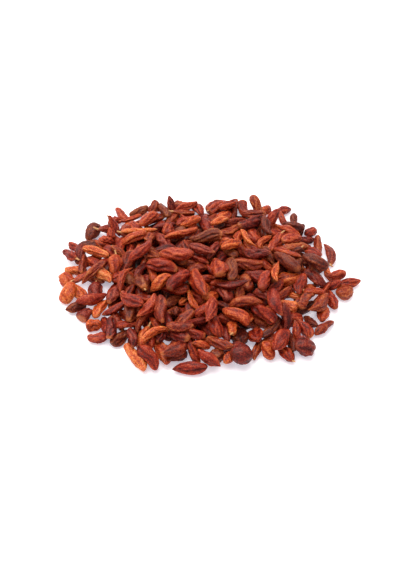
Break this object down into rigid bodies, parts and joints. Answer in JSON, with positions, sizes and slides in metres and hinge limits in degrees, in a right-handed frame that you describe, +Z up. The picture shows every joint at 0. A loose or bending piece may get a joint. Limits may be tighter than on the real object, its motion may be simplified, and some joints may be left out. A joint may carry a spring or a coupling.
{
  "type": "heap of dried goji berries",
  "caption": "Loose heap of dried goji berries as poured on a flat surface: a low uneven mound of wrinkled spindle-shaped dried berries, thin at its rim.",
  "frame": {"origin": "middle of the heap's flat underside, on the surface that it lies on", "axes": "+Z up, +X to the viewer's right along the heap's longer side, +Y away from the viewer"},
  "size_m": [0.1594, 0.1285, 0.0199],
  "materials": {
    "dried_skin": "matte wrinkled dried fruit skin, brick red to dark brown with orange patches"
  },
  "bodies": {
    "root": {"goji_heap": "dried_skin"}
  },
  "joints": []
}
